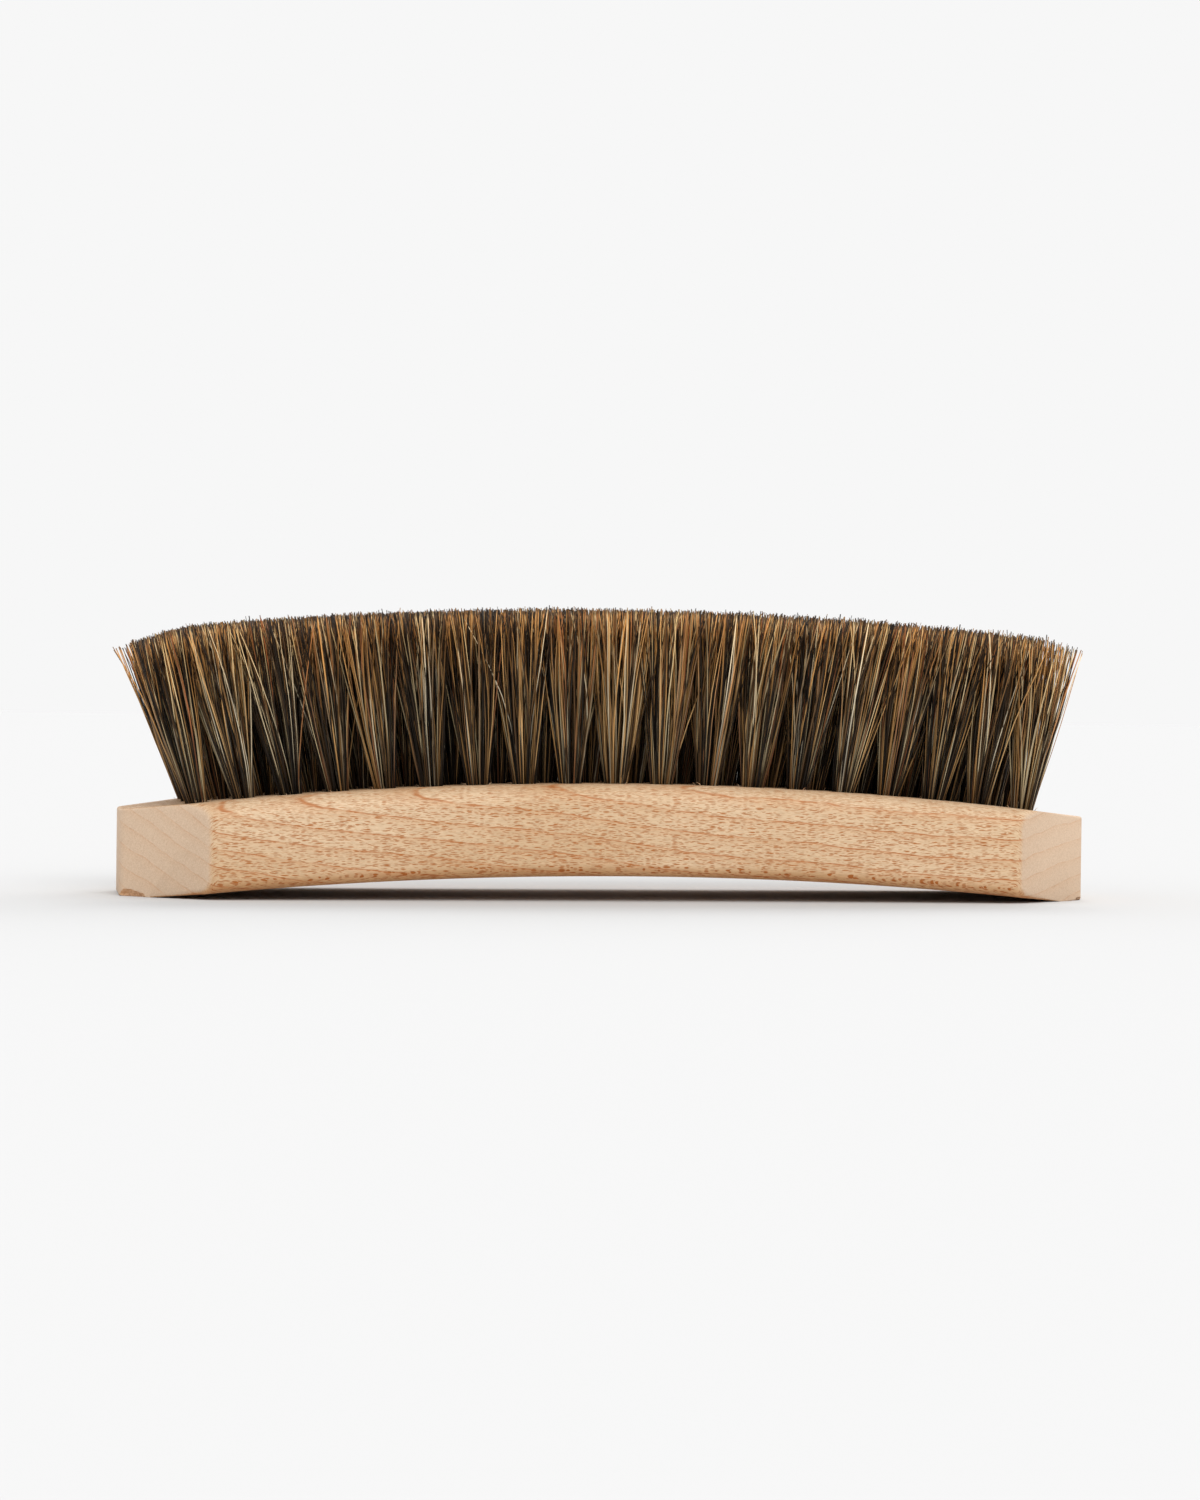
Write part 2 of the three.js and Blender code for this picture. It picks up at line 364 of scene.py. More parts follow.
def beech_material():
    n = Nodes("beech_wood")
    place, along, radius, around = wood_coordinates(n)
    late, line = growth_rings(n, along, radius, around)
    fleck = 0.0
    for length, thickness in RAY_SIZES:
        fleck = n.math("MAXIMUM", ray_flecks(n, along, radius, around, length, thickness), fleck)
    fibre = n.noise(n.combine(n.math("MULTIPLY", along, 0.12), around, radius), 4.5, 3.0, 0.65)
    cloud = n.noise(n.vector("MULTIPLY", place, (0.4, 1.0, 1.0)), 0.06, 2.0)
    end_grain, side_grain, painted_underside_shade = grain_shares(n)

    colour = n.mix(n.span(cloud, 0.3, 0.7), srgb(208, 176, 138), srgb(222, 194, 160))
    colour = n.mix(end_grain, colour, srgb(211, 185, 159))
    colour = stain(n, colour, srgb(200, 150, 104), late, side_grain, 0.14, 0.2)
    colour = stain(n, colour, srgb(182, 106, 46), line, side_grain, 0.2, 0.55)
    colour = stain(n, colour, srgb(174, 105, 44), fleck, side_grain, 0.08, 0.9)
    tint = n.ramp(fibre, [(0.3, (0.84, 0.81, 0.78, 1)), (0.68, (1.04, 1.04, 1.03, 1))])
    colour = n.mix(1.0, colour, tint, "MULTIPLY")
    # Painted shade: side grain that faces down is made darker and more orange, as if lit only by
    # light bounced up from below.
    shaded_underside = n.mix(1.0, colour, (0.95, 0.76, 0.58, 1), "MULTIPLY")
    colour = n.mix(painted_underside_shade, colour, shaded_underside)
    n.feed(n.shader.inputs["Base Color"], torn_wood(n, place, colour))

    roughness = n.math("ADD", n.math("MULTIPLY", fibre, 0.22), 0.48)
    roughness = n.math("ADD", roughness, n.math("MULTIPLY", end_grain, 0.12))
    n.feed(n.shader.inputs["Roughness"], roughness)
    n.shader.inputs["Specular IOR Level"].default_value = 0.35

    saw_marks = n.noise(n.vector("MULTIPLY", place, (0.3, 0.3, 1.0)), 5.0, 1.0)
    saw_marks = n.math("MULTIPLY", saw_marks, n.math("MULTIPLY", end_grain, 0.5))
    height = n.math("ADD", n.math("MULTIPLY", fibre, 0.8), saw_marks)
    height = n.math("SUBTRACT", height, n.math("MULTIPLY", fleck, 0.35))
    height = n.math("SUBTRACT", height, n.math("MULTIPLY", line, 0.3))
    n.bump(height, 0.06 * MM, 0.6)
    return n.material


def horsehair_material():
    """Each hair has one of the tones, and 'along' runs from its fold (0) to its tip (1)."""
    n = Nodes("horsehair")
    tone = n.new("ShaderNodeAttribute", attribute_name="tone").outputs["Fac"]
    along = n.new("ShaderNodeAttribute", attribute_name="along").outputs["Fac"]
    colour = n.ramp(tone, HAIR_TONES)
    streak = n.noise(n.combine(n.math("MULTIPLY", tone, 900.0), along, 0.0), 2.2, 2.0)
    streaks = n.ramp(streak, [(0.32, (0.55, 0.53, 0.5, 1)), (0.68, (1.25, 1.22, 1.15, 1))])
    colour = n.mix(1.0, colour, streaks, "MULTIPLY")
    # Painted shade: each hair darkens towards its fold, where the tuft shades itself. Towards the tip
    # it grows lighter and more golden.
    root_shade_and_tip_tone = n.ramp(along, [
        (0.08, (0.42, 0.4, 0.38, 1)),
        (0.3, (0.9, 0.95, 1.0, 1)),
        (0.6, (1.08, 1.08, 1.08, 1)),
        (1.0, (1.38, 1.18, 0.9, 1)),
    ])
    colour = n.mix(1.0, colour, root_shade_and_tip_tone, "MULTIPLY")
    tip = n.span(along, 0.972, 0.99)
    colour = n.mix(n.math("MULTIPLY", tip, 0.6), colour, srgb(30, 20, 12))
    n.feed(n.shader.inputs["Base Color"], colour)
    n.shader.inputs["Roughness"].default_value = 0.45
    n.shader.inputs["Specular IOR Level"].default_value = 0.22
    return n.material


def anchor_material():
    n = Nodes("anchor_wire")
    here = n.new("ShaderNodeTexCoord").outputs["Object"]
    drawn = n.noise(here, 9000.0, 2.0)
    n.feed(n.shader.inputs["Base Color"], n.mix(drawn, srgb(150, 150, 152), srgb(190, 188, 184)))
    n.shader.inputs["Metallic"].default_value = 1.0
    n.shader.inputs["Roughness"].default_value = 0.35
    return n.material


def floor_material():
    n = Nodes("studio_floor")
    n.shader.inputs["Base Color"].default_value = (FLOOR_ALBEDO,) * 3 + (1.0,)
    n.shader.inputs["Roughness"].default_value = 1.0
    n.shader.inputs["Specular IOR Level"].default_value = 0.0
    return n.material


# ---------------------------------------------------------------- pieces

CHIPS = [  # which end, how far along the sawn corner, and the cutter's reach along, in and up
    (-1, 2.4 * MM, Vector((8.5, 7.0, 4.6)) * MM),
    (1, 0.8 * MM, Vector((4.0, 6.0, 2.4)) * MM),
]
CHIP_STANDOFF = 0.84  # how far out the cutter's middle lies, as a share of its reach inwards
CHIP_DROP = 0.25  # and how far down, as a share of its reach upwards
CHIP_ROUGHNESS = 0.04  # how far its surface strays, as a share of its reach
CHIP_WAVES = 4.5  # how closely the largest bumps of that roughness follow each other
CHIP_FRACTAL = (0.7, 2.2, 5)  # how the smaller bumps fade, how much smaller they get, and how often


def chip_frames():
    """For each chip, the matrix that takes a ball of radius 1 to the lump that breaks it out."""
    frames = []
    for end, middle, reach in CHIPS:
        corner = Vector((end * LENGTH / 2, CORNER_CUT.y - WIDTH / 2, 0))
        along = Vector((-end * CORNER_CUT.x, -CORNER_CUT.y, 0)).normalized()
        outward = Vector((end * CORNER_CUT.y, -CORNER_CUT.x, 0)).normalized()
        centre = corner + along * middle + outward * reach.y * CHIP_STANDOFF
        centre.z -= reach.z * CHIP_DROP
        turn = Euler((0, 0, math.atan2(along.y, along.x)))
        frames.append(Matrix.LocRotScale(centre, turn, reach))
    return frames


def add_piece(name, mesh, material):
    piece = bpy.data.objects.new(name, mesh)
    bpy.context.scene.collection.objects.link(piece)
    mesh.materials.clear()
    mesh.materials.append(material)
    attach(piece, BODY)
    return piece


def arc_points(centre, radius, start, end, steps):
    """Points on an arc in the plane of the section, angles in degrees."""
    turn = np.radians(np.linspace(start, end, steps + 1))
    return [(centre[0] + radius * math.cos(a), centre[1] + radius * math.sin(a)) for a in turn]


def block_section():
    """Outline of the block's cross-section: width, then thickness."""
    side = WIDTH / 2
    steps = 8
    return (
        arc_points((side - PALM_EDGE, PALM_EDGE), PALM_EDGE, -90, 0, steps)
        + arc_points((side - FACE_EDGE, THICKNESS - FACE_EDGE), FACE_EDGE, 0, 90, steps)
        + arc_points((FACE_EDGE - side, THICKNESS - FACE_EDGE), FACE_EDGE, 90, 180, steps)
        + arc_points((PALM_EDGE - side, PALM_EDGE), PALM_EDGE, 180, 270, steps)
    )


def arched_bar():
    """The section swept along X between the arch of the palm and the arch of the drilled face."""
    bar = bmesh.new()
    section = block_section()
    stations = 49
    rings = []
    clear = LENGTH / 2 - CORNER_CUT.x - 1.5 * MM  # no ring lies where the corners are sawn off
    for x in [-LENGTH / 2, *np.linspace(-clear, clear, stations), LENGTH / 2]:
        palm = arch(x, PALM_CROWN, PALM_RADIUS)
        face = arch(x, FACE_CROWN, FACE_RADIUS)
        ring = [bar.verts.new((x, y, palm + (face - palm) * z / THICKNESS)) for y, z in section]
        rings.append(ring)
    for ring, after in zip(rings, rings[1:]):
        for i in range(len(section)):
            j = (i + 1) % len(section)
            bar.faces.new((ring[i], ring[j], after[j], after[i]))
    bar.faces.new(list(reversed(rings[0])))
    bar.faces.new(rings[-1])
    bmesh.ops.recalc_face_normals(bar, faces=bar.faces)
    return bar


def saw(bar, place, outward):
    """Cuts away what lies beyond a plane, and closes the cut."""
    cut = bmesh.ops.bisect_plane(
        bar,
        geom=bar.verts[:] + bar.edges[:] + bar.faces[:],
        plane_co=place,
        plane_no=outward,
        clear_outer=True,
        dist=1e-7,
    )
    edges = [item for item in cut["geom_cut"] if isinstance(item, bmesh.types.BMEdge)]
    bmesh.ops.edgeloop_fill(bar, edges=edges)


def saw_corners(bar):
    """Saws off the four corners, and flattens the two lands that the block rests on."""
    for end in (-1, 1):
        for side in (-1, 1):
            place = Vector((end * LENGTH / 2, side * (WIDTH / 2 - CORNER_CUT.y), 0))
            saw(bar, place, Vector((end * CORNER_CUT.y, side * CORNER_CUT.x, 0)).normalized())
    saw(bar, Vector((0, 0, 0)), Vector((0, 0, -1)))


def ease_edges(bar):
    """Rounds the end faces' upright edges and the sawn corners' creases, then breaks the rest."""
    def sharp_edges():
        bar.normal_update()
        return [edge for edge in bar.edges if edge.calc_face_angle(0) > SHARP_ANGLE]

    def upright(edge):
        rise = edge.verts[1].co - edge.verts[0].co
        return abs(rise.z) > 0.9 * rise.length and abs(edge.verts[0].co.x) > LENGTH / 2 - MM

    def in_crease(edge):
        inner = WIDTH / 2 - FACE_EDGE + 0.3 * MM
        return all(abs(vert.co.y) > inner for vert in edge.verts)

    def ease(edges, offset, segments):
        bmesh.ops.bevel(
            bar, geom=edges, offset=offset, segments=segments, profile=0.5, affect="EDGES"
        )

    bmesh.ops.remove_doubles(bar, verts=bar.verts, dist=0.15 * MM)
    bmesh.ops.dissolve_degenerate(bar, edges=bar.edges, dist=0.05 * MM)
    ease([edge for edge in sharp_edges() if upright(edge)], UPRIGHT_ROUND, 5)
    ease([edge for edge in sharp_edges() if in_crease(edge)], CREASE_ROUND, 5)
    ease(sharp_edges(), EDGE_ROUND, 3)


def mesh_object(name, bm):
    mesh = bpy.data.meshes.new(name)
    bmesh.ops.recalc_face_normals(bm, faces=bm.faces)
    bm.to_mesh(mesh)
    bm.free()
    made = bpy.data.objects.new(name, mesh)
    bpy.context.scene.collection.objects.link(made)
    return made


def drill_bits(tufts):
    """One cutter per hole: a round rod with a blunt point, along the tuft's own axis."""
    bits = bmesh.new()
    sides = 28
    point = 0.6 * MM
    above = 3 * MM
    for root, mouth in tufts:
        axis = (mouth - root).normalized()
        turn = axis.to_track_quat("Z", "Y").to_matrix()
        levels = [
            (mouth - axis * (HOLE_DEPTH + point), 0.0),
            (mouth - axis * HOLE_DEPTH, HOLE_RADIUS),
            (mouth + axis * above, HOLE_RADIUS),
            (mouth + axis * above, 0.0),
        ]
        rings = []
        for centre, radius in levels:
            if radius == 0:
                rings.append([bits.verts.new(centre)])
                continue
            angles = [2 * math.pi * i / sides for i in range(sides)]
            spokes = [turn @ Vector((math.cos(a), math.sin(a), 0)) for a in angles]
            rings.append([bits.verts.new(centre + spoke * radius) for spoke in spokes])
        for i in range(sides):
            j = (i + 1) % sides
            bits.faces.new((rings[0][0], rings[1][j], rings[1][i]))
            bits.faces.new((rings[1][i], rings[1][j], rings[2][j], rings[2][i]))
            bits.faces.new((rings[2][i], rings[2][j], rings[3][0]))
    return mesh_object("drill_bits", bits)


def chip_cutter():
    """Rough lumps that break small pieces out of two bottom corners."""
    lumps = bmesh.new()
    for place in chip_frames():
        lump = bmesh.ops.create_icosphere(lumps, subdivisions=6, radius=1)
        for vert in lump["verts"]:
            rough = noise.fractal(vert.co * CHIP_WAVES, *CHIP_FRACTAL)
            vert.co = place @ (vert.co * (1 + CHIP_ROUGHNESS * rough))
    return mesh_object("chip_cutter", lumps)


def subtract(target, cutter):
    cut = target.modifiers.new("cut", "BOOLEAN")
    cut.operation = "DIFFERENCE"
    cut.solver = "MANIFOLD"
    cut.object = cutter
    bpy.context.view_layer.update()
    result = bpy.data.meshes.new_from_object(
        target.evaluated_get(bpy.context.evaluated_depsgraph_get())
    )
    target.modifiers.clear()
    target.data = result
    bpy.data.objects.remove(cutter)


def mark_torn(mesh):
    """Face attribute 'torn': 1 where a chip has broken away, for the wood's colour."""
    count = len(mesh.polygons)
    centres = np.empty(count * 3)
    mesh.polygons.foreach_get("center", centres)
    centres = np.column_stack([centres.reshape(-1, 3), np.ones(count)])
    areas = np.empty(count)
    mesh.polygons.foreach_get("area", areas)
    small = areas < MM * MM
    torn = np.zeros(count)
    for place in chip_frames():
        within = centres @ np.array(place.inverted()).T
        torn[(np.linalg.norm(within[:, :3], axis=1) < 1 + CHIP_ROUGHNESS) & small] = 1
    layer = mesh.attributes.new("torn", "FLOAT", "FACE")
    layer.data.foreach_set("value", torn.astype(np.float32))


def make_block(tufts, wood):
    bar = arched_bar()
    saw_corners(bar)
    ease_edges(bar)
    shaped = mesh_object("shaped_block", bar)
    subtract(shaped, chip_cutter())
    subtract(shaped, drill_bits(tufts))
    mesh = shaped.data
    bpy.data.objects.remove(shaped)
    mesh.name = "block"
    mesh.shade_smooth()
    mesh.set_sharp_from_angle(angle=math.radians(32))
    mark_torn(mesh)
    piece = add_piece("drilled_beech_block", mesh, wood)
    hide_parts(BLOCK_NODE)


# ---------------------------------------------------------------- tufts


def tufts_of(node):
    """(root, mouth) of each tuft in a CAD node: the middle of its bottom, and of its hole's mouth."""
    foot = 1.5 * MM  # the bottoms of a node's tufts lie within this height
    reach = 5 * MM  # a tuft's mouth lies within this distance of its root, seen from above
    margin = 0.3 * MM

    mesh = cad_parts[node].data
    points = np.array([vert.co for vert in mesh.vertices])
    low = points[points[:, 2] < points[:, 2].min() + foot]
    split = (low[:, 1].min() + low[:, 1].max()) / 2
    paired = np.ptp(low[:, 1]) > 3 * ROOT_RADIUS
    groups = [low[low[:, 1] < split], low[low[:, 1] >= split]] if paired else [low]
    found = []
    for group in groups:
        root = (group.min(0) + group.max(0)) / 2
        near = np.linalg.norm(points[:, :2] - root[:2], axis=1) < reach
        level = np.abs(points[:, 2] - root[2] - ROOT_DEPTH) < margin
        rim = points[near & level]
        mouth = (rim.min(0) + rim.max(0)) / 2
        found.append((Vector(root), Vector(mouth)))
    return found


def bundle_places(count):
    """Random places in a round bundle of radius 1."""
    reach = np.sqrt(rng.uniform(0, 1, count))
    angle = rng.uniform(0, 2 * np.pi, count)
    return reach * np.cos(angle), reach * np.sin(angle)


def pull_to_locks(across, deep):
    """How far each hair of a bundle is drawn towards the middle of the lock that it is in."""
    lock_x, lock_y = bundle_places(LOCKS_PER_TUFT)
    apart = (across[:, None] - lock_x) ** 2 + (deep[:, None] - lock_y) ** 2
    nearest = apart.argmin(1)
    return lock_x[nearest] - across, lock_y[nearest] - deep


def tuft_lean(root, mouth):
    """How far a tuft leans for each metre upwards, less so towards the right end."""
    lean = (mouth - root) / ROOT_DEPTH
    lean.x *= 1 - STRAIGHTER * min(max(0, mouth.x - STRAIGHTER_FROM) / STRAIGHTER_OVER, 1)
    return lean


def stray_paths(count):
    """For each of some hairs, how far it strays sideways at a height above the block."""
    wild = rng.uniform(0, 1, count)
    sway = np.select([wild < share for share, _ in SWAYS], [size for _, size in SWAYS], CALM_SWAY)
    sway_x = np.clip(rng.normal(0, 1, count), -SWAY_LIMIT, SWAY_LIMIT) * sway
    sway_y = np.clip(rng.normal(0, 1, count), -SWAY_LIMIT, SWAY_LIMIT) * sway
    bend = np.where(rng.uniform(0, 1, count) < BENT_SHARE, STRONG_BEND, CALM_BEND)
    bend_x = rng.normal(0, 1, count) * bend
    bend_y = rng.normal(0, 1, count) * bend
    ripple_turn = rng.uniform(0, 2 * np.pi, count)
    ripple_size = rng.gamma(RIPPLE_SHAPE, RIPPLE, count)

    def stray(height):
        share = height / BRISTLE_LENGTH
        swayed = height * (SWAY_AT_MOUTH + (1 - SWAY_AT_MOUTH) * share)
        bent = share * (share - BEND_RETURN)
        ripple = ripple_size * np.sin(ripple_turn + share * RIPPLE_WAVES) * share
        x = sway_x * swayed + bend_x * bent + ripple
        y = sway_y * swayed + bend_y * bent + ripple * np.cos(ripple_turn * 3)
        return x, y

    return stray


def trimmed_heights(mouth, tip_x, tip_y):
    """How high each hair of a tuft reaches above the mouth of its hole. Some are left short."""
    count = len(tip_x)
    trimmed = arch(np.clip(tip_x, -LENGTH / 2, LENGTH / 2), TRIM_CROWN, TRIM_RADIUS) - mouth.z
    trimmed -= END_SLOPE * np.clip(np.abs(tip_x) - END_START, 0, None)
    spread = np.minimum(np.hypot(tip_x - mouth.x, tip_y - mouth.y), WIDEST_SPREAD)
    reach = np.sqrt((BRISTLE_LENGTH * LONGEST_HAIR) ** 2 - spread ** 2)
    height = np.minimum(trimmed - TRIM_MARGIN, reach) + rng.normal(0, TIP_SCATTER, count)
    short = rng.uniform(0, 1, count) < SHORT_SHARE
    height -= np.where(short, rng.exponential(SHORT_BY, count), 0)
    return np.clip(height, LEAST_HEIGHT, trimmed + HIGHEST_TIP)


def limbs(root, mouth, side):
    """One half of every hair of a tuft, from its tip down to the anchor, and where its points lie."""
    count = HAIRS_PER_TUFT
    across, deep = bundle_places(count)
    across = side * (ANCHOR_CLEARANCE + (1 - ANCHOR_CLEARANCE) * np.abs(across))
    lock_x, lock_y = pull_to_locks(across, deep)
    lean = tuft_lean(root, mouth)
    stray = stray_paths(count)

    def place(height):
        share = height / BRISTLE_LENGTH
        opened = 1 - np.exp(-np.power(height / GROWTH_HEIGHT, GROWTH_POWER))
        grown = ROOT_RADIUS + BUNDLE_GROWTH * opened
        locked = LOCK_PULL * share * (2 * LOCK_PEAK - share) * grown
        stray_x, stray_y = stray(height)
        x = mouth.x + lean.x * height + across * grown + lock_x * locked + stray_x
        y = mouth.y + lean.y * height + deep * grown + lock_y * locked + stray_y
        return x, y

    height = trimmed_heights(mouth, *place(np.full(count, BRISTLE_LENGTH)))
    shares = np.array([1.0, 0.85, 0.7, 0.54, 0.37, 0.18, 0.0])
    points = []
    for share in shares:
        level = height * share
        x, y = place(level)
        points.append(np.stack([x, y, mouth.z + level], 1))

    # The last point lies in the hole, beside the anchor and just below its upper edge.
    depth = ROOT_DEPTH - ANCHOR_REST - ANCHOR_HEIGHT + 0.15 * MM
    sunk = mouth.lerp(root, depth / ROOT_DEPTH)
    packed = 0.95 * ROOT_RADIUS
    x = sunk.x + across * packed
    y = sunk.y + deep * packed
    points.append(np.stack([x, y, np.full(count, mouth.z - depth)], 1))
    return np.stack(points, 1), shares


def folded_hairs(root, mouth):
    """Centre lines of a tuft's hairs, each folded double under the anchor, and their 'along'."""
    first, shares = limbs(root, mouth, -1)
    second, _ = limbs(root, mouth, 1)
    fold = (first[:, -1] + second[:, -1]) / 2
    fold[:, 2] = root.z + rng.uniform(0.2, 0.7, len(fold)) * MM
    lines = np.concatenate([first, fold[:, None], second[:, ::-1]], 1)
    above = FOLDED_SHARE + (1 - FOLDED_SHARE) * shares
    beside = FOLDED_SHARE / 2
    along = np.concatenate([above, [beside, 0.0, beside], above[::-1]])
    return lines, along


def tube_mesh(name, lines, radii):
    """One mesh of thin three-sided tubes, closed at both ends, with a line of points in each."""
    count, steps, _ = lines.shape
    ahead = np.gradient(lines, axis=1)
    ahead /= np.linalg.norm(ahead, axis=2, keepdims=True)
    hinge = lines[:, -1] - lines[:, 0]
    hinge = np.stack([-hinge[:, 1], hinge[:, 0], np.zeros(count)], 1)
    hinge /= np.maximum(np.linalg.norm(hinge, axis=1, keepdims=True), 1e-9)
    side = np.cross(ahead, hinge[:, None])
    side /= np.linalg.norm(side, axis=2, keepdims=True)
    other = np.cross(ahead, side)
    turn = 2 * np.pi * np.arange(HAIR_SIDES) / HAIR_SIDES
    ring = (
        side[:, :, None] * np.cos(turn)[None, None, :, None]
        + other[:, :, None] * np.sin(turn)[None, None, :, None]
    )
    verts = (lines[:, :, None] + ring * radii[:, :, None, None]).reshape(-1, 3)

    tube = np.arange(count)[:, None, None] * steps * HAIR_SIDES
    step = np.arange(steps - 1)[None, :, None] * HAIR_SIDES
    corner = np.arange(HAIR_SIDES)[None, None]
    after = (corner + 1) % HAIR_SIDES
    base = tube + step
    quads = np.stack(
        [base + corner, base + after, base + HAIR_SIDES + after, base + HAIR_SIDES + corner], -1
    ).reshape(-1, 4)
    first = (np.arange(count) * steps * HAIR_SIDES)[:, None] + np.arange(HAIR_SIDES)
    caps = np.concatenate([first[:, ::-1], first + (steps - 1) * HAIR_SIDES])

    mesh = bpy.data.meshes.new(name)
    corners = np.concatenate([quads.ravel(), caps.ravel()]).astype(np.int32)
    starts = np.concatenate([np.arange(len(quads)) * 4, quads.size + np.arange(len(caps)) * 3])
    mesh.vertices.add(len(verts))
    mesh.vertices.foreach_set("co", verts.ravel())
    mesh.loops.add(len(corners))
    mesh.loops.foreach_set("vertex_index", corners)
    mesh.polygons.add(len(starts))
    mesh.polygons.foreach_set("loop_start", starts.astype(np.int32))
    mesh.update(calc_edges=True)
    mesh.shade_smooth()
    return mesh


def tuft_mesh(name, tufts):
    """One mesh of all the hairs of some tufts, with the tone and the place along every hair."""
    parts = [folded_hairs(root, mouth) for root, mouth in tufts]
    lines = np.concatenate([part[0] for part in parts])
    along = parts[0][1]
    thick = np.clip(rng.normal(1, HAIR_SPREAD, len(lines)), THINNEST_HAIR, THICKEST_HAIR)
    taper = 1 - TIP_TAPER * np.clip((along - TAPER_START) / (1 - TAPER_START), 0, 1)
    mesh = tube_mesh(name, lines, HAIR_RADIUS * thick[:, None] * taper[None])

    tones = np.repeat(pick_tones(len(lines), tufts[0][1].x), len(along) * HAIR_SIDES)
    along_points = np.tile(np.repeat(along, HAIR_SIDES), len(lines))
    for attribute, values in (("tone", tones), ("along", along_points)):
        layer = mesh.attributes.new(attribute, "FLOAT", "POINT")
        layer.data.foreach_set("value", values.astype(np.float32))

    # A map for the finished colours: tone across, and 'along' upwards.
    corners = np.empty(len(mesh.loops), np.int32)
    mesh.loops.foreach_get("vertex_index", corners)
    margin = 0.004
    half_width = 0.35 / TONES  # a little less than half of a tone's column
    across = np.tile([-1.0, 1.0, 0.0], len(lines) * len(along)) * half_width
    upwards = margin + (1 - 2 * margin) * along_points
    places = np.stack([(tones + across)[corners], upwards[corners]], 1)
    mesh.uv_layers.new(name="OFBake").uv.foreach_set("vector", places.astype(np.float32).ravel())
    return mesh


def pick_tones(count, x):
    """A tone for each hair of some tufts: the mix drifts between them, and is lighter at +X."""
    drift = np.exp(rng.normal(0, TONE_DRIFT) - LIGHTER_END * max(0, x / (LENGTH / 2)) ** 3)
    tones = rng.uniform(0, 0.999, count) ** drift
    return (np.floor(tones * TONES) + 0.5) / TONES


def make_tufts(hair):
    """A hair piece for each CAD node of tufts, and the list of every tuft."""
    everyone = []
    for node in sorted(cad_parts):
        if node == BLOCK_NODE:
            continue
        tufts = tufts_of(node)
        everyone += tufts
        piece = add_piece("hair_" + node, tuft_mesh("hair_" + node, tufts), hair)
        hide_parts(node)
    return everyone


def make_slivers(tufts, wood):
    """Short curled slivers that the drill left standing on the rims of the holes."""
    most = 3
    sunk = 0.06 * MM
    lines = []
    for _, mouth in tufts:
        for _ in range(rng.integers(0, most + 1)):
            angle = rng.uniform(0, 2 * math.pi)
            outward = Vector((math.cos(angle), math.sin(angle), 0))
            sideways = Vector((-outward.y, outward.x, 0)) * rng.uniform(-0.6, 0.6)
            size = rng.uniform(0.35, 1.0) * MM
            foot = mouth + outward * HOLE_RADIUS * 1.02
            foot.z = arch(foot.x, FACE_CROWN, FACE_RADIUS) - sunk
            curl = [
                foot + (outward * 0.6 * s + sideways * s * s + Vector((0, 0, s - 0.4 * s * s))) * size
                for s in (0, 0.25, 0.5, 0.75, 1)
            ]
            lines.append(curl)
    radii = rng.uniform(0.04, 0.09, (len(lines), 1)) * MM * np.array([[1, 1, 0.85, 0.6, 0.25]])
    mesh = tube_mesh("rim_slivers", np.array(lines), radii)
    add_piece("rim_slivers", mesh, wood)


def anchor_wire(bm, root):
    """A short flat wire across the bottom of a hole, over the folds of the hairs."""
    stations = 7
    corners = 8
    squareness = 0.4
    bitten_from = 0.7  # how far out along the wire the wood pinches it
    bite = 0.35
    bow = 0.35 * MM  # how much higher its ends lie than its middle

    def rounded(value):
        return math.copysign(abs(value) ** squareness, value) / 2

    middle = root + Vector((0, 0, ANCHOR_REST + ANCHOR_HEIGHT / 2))
    rings = []
    for i in range(stations):
        s = 2 * i / (stations - 1) - 1
        pinch = 1 - bite * max(0, abs(s) - bitten_from) / (1 - bitten_from)
        rise = bow * s * s
        ring = []
        for k in range(corners):
            turn = 2 * math.pi * (k + 0.5) / corners
            x = rounded(math.cos(turn)) * ANCHOR_THICKNESS * pinch
            z = rounded(math.sin(turn)) * ANCHOR_HEIGHT * pinch + rise
            ring.append(bm.verts.new(middle + Vector((x, s * ANCHOR_LENGTH / 2, z))))
        rings.append(ring)
    for ring, after in zip(rings, rings[1:]):
        for k in range(corners):
            j = (k + 1) % corners
            bm.faces.new((ring[k], ring[j], after[j], after[k]))
    bm.faces.new(rings[0])
    bm.faces.new(list(reversed(rings[-1])))


def make_anchors(tufts, metal):
    """The flat wires that pin the tufts, as one piece for each row of holes."""
    rows = sorted({round(mouth.y / MM) for _, mouth in tufts})
    for number, row in enumerate(rows, 1):
        wires = bmesh.new()
        for root, mouth in tufts:
            if round(mouth.y / MM) == row:
                anchor_wire(wires, root)
        bmesh.ops.recalc_face_normals(wires, faces=wires.faces)
        mesh = bpy.data.meshes.new(f"anchors_row_{number}")
        wires.to_mesh(mesh)
        wires.free()
        mesh.shade_smooth()
        mesh.set_sharp_from_angle(angle=math.radians(40))
        add_piece(f"anchors_row_{number}", mesh, metal)


# ---------------------------------------------------------------- stage

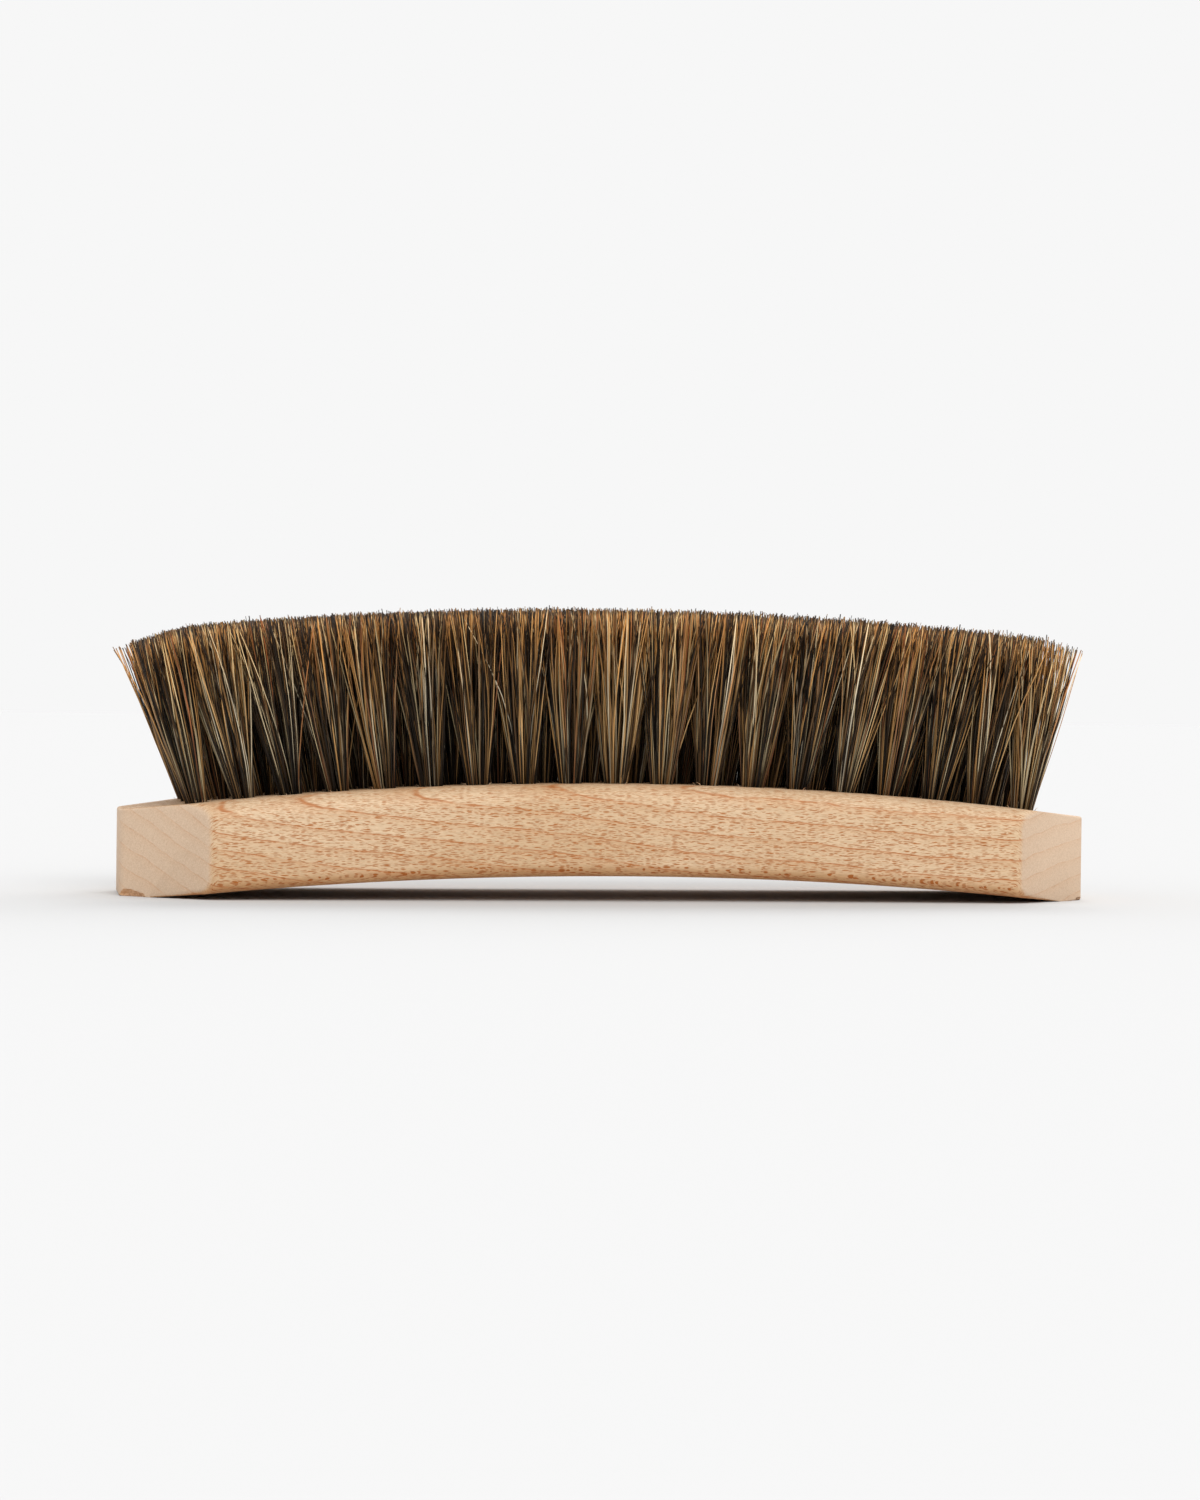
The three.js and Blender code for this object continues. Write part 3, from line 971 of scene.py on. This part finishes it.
FLOOR_ALBEDO = 0.589
FLOOR_RADIUS = 6.0
BACKGROUND = 0.93
LAMPS = [  # name, strength, and in degrees: apparent size, then tip to the front and to the right
    ("front_key", 1.25, 40, 44, 7),
    ("back_top", 1.0, 30, -28, 8),
    ("back_right", 0.8, 40, -40, 60),
]
CAMERA_TURN = -8.5  # degrees round the brush: 0 is straight in front, and less is to the left
CAMERA_REACH = 740.2 * MM
CAMERA_HEIGHT = 37.2 * MM
CAMERA_SLIDE = -0.6 * MM
CAMERA_DIP = 0.775
CAMERA_ROLL = 0.69
CAMERA_LENS = 94.97


def make_stage():
    floor = bmesh.new()
    bmesh.ops.create_circle(floor, cap_ends=True, radius=FLOOR_RADIUS, segments=96)
    piece = mesh_object("studio_floor", floor)
    piece.data.materials.append(floor_material())

    world = bpy.data.worlds.new("studio")
    world.use_nodes = True
    world.node_tree.nodes["Background"].inputs["Color"].default_value = (BACKGROUND,) * 3 + (1,)
    bpy.context.scene.world = world

    for name, strength, size, tip_forward, tip_right in LAMPS:
        sun = bpy.data.lights.new(name, "SUN")
        sun.energy = strength
        sun.angle = math.radians(size)
        lamp = bpy.data.objects.new(name, sun)
        lamp.rotation_euler = Euler((math.radians(tip_forward), math.radians(tip_right), 0))
        bpy.context.scene.collection.objects.link(lamp)
    bpy.context.scene.view_settings.view_transform = "Standard"


def make_camera():
    camera = bpy.data.cameras.new("camera")
    camera.lens = CAMERA_LENS
    turn = math.radians(CAMERA_TURN)
    shooter = bpy.data.objects.new("camera", camera)
    shooter.location = (
        CAMERA_REACH * math.sin(turn) + CAMERA_SLIDE * math.cos(turn),
        CAMERA_SLIDE * math.sin(turn) - CAMERA_REACH * math.cos(turn),
        CAMERA_HEIGHT,
    )
    tilt = Euler((math.radians(90 - CAMERA_DIP), 0, turn)).to_matrix()
    roll = Euler((0, 0, math.radians(CAMERA_ROLL))).to_matrix()
    shooter.rotation_euler = (tilt @ roll).to_euler()
    bpy.context.scene.collection.objects.link(shooter)
    bpy.context.scene.camera = shooter


make_camera()
make_stage()
all_tufts = make_tufts(horsehair_material())
beech = beech_material()
make_block(all_tufts, beech)
make_slivers(all_tufts, beech)
make_anchors(all_tufts, anchor_material())
